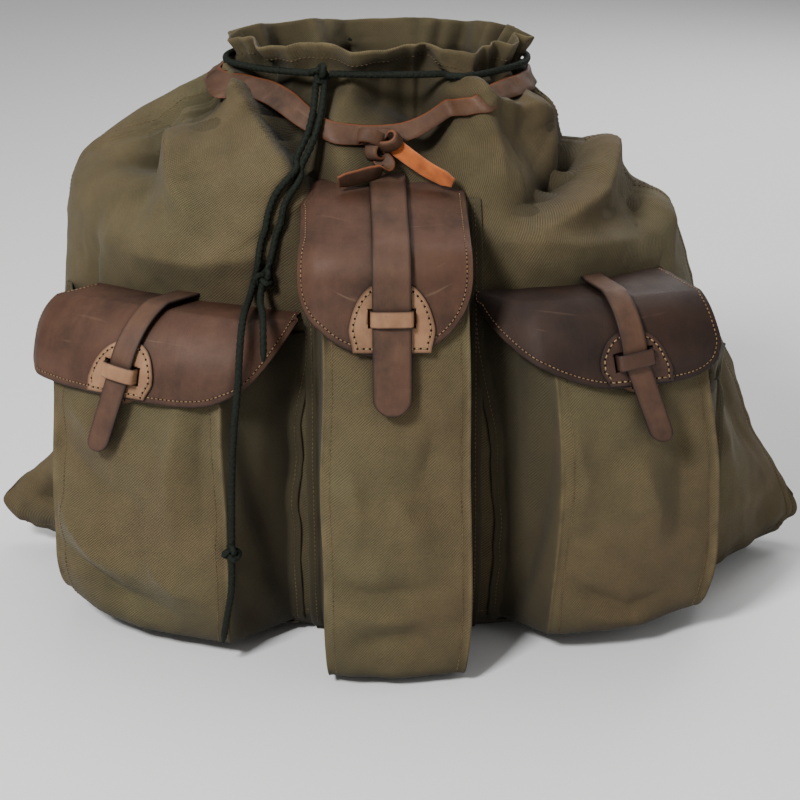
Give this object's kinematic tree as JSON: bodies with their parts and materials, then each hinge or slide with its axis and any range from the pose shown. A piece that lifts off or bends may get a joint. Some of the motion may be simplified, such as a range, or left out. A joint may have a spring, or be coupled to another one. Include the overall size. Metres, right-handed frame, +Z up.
{
  "type": "hunting rucksack",
  "caption": "Olive canvas rucksack with a drawcord mouth, bellows pockets under strapped leather flaps, and leather shoulder straps.",
  "frame": {"origin": "middle of the footprint on the floor, without the drawcord's free ends", "axes": "+X to the right as seen from the front, -Y out of the front with the pockets, +Z up"},
  "size_m": [0.6574, 0.4332, 0.4323],
  "materials": {
    "canvas": "matt waxed twill",
    "flap_leather": "waxed, worn",
    "tan_leather": "waxed, worn",
    "drawcord": "braided",
    "dull_brass": "dull"
  },
  "bodies": {
    "root": {"back_anchor": "flap_leather", "closure_strap_centre": "flap_leather", "closure_strap_left": "flap_leather", "closure_strap_right": "flap_leather", "drawcord_knot": "drawcord", "drawcord_long_end": "drawcord", "drawcord_neck": "drawcord", "drawcord_short_end": "drawcord", "flap_centre": "flap_leather", "flap_left": "flap_leather", "flap_patch_centre": "tan_leather", "flap_patch_left": "tan_leather", "flap_patch_right": "tan_leather", "flap_right": "flap_leather", "lower_tab_left": "flap_leather", "lower_tab_right": "flap_leather", "neck_thong": "flap_leather", "pocket_centre": "canvas", "pocket_left": "canvas", "pocket_patch_centre": "tan_leather", "pocket_patch_left": "tan_leather", "pocket_patch_right": "tan_leather", "pocket_right": "canvas", "sack": "canvas", "shoulder_strap_left": "flap_leather", "shoulder_strap_right": "flap_leather", "strap_buckle_left": "dull_brass", "strap_buckle_right": "dull_brass", "strap_loop_centre": "tan_leather", "strap_loop_left": "tan_leather", "strap_loop_right": "tan_leather", "thong_knot": "flap_leather", "thong_tail_long": "flap_leather", "thong_tail_short": "tan_leather"}
  },
  "joints": []
}
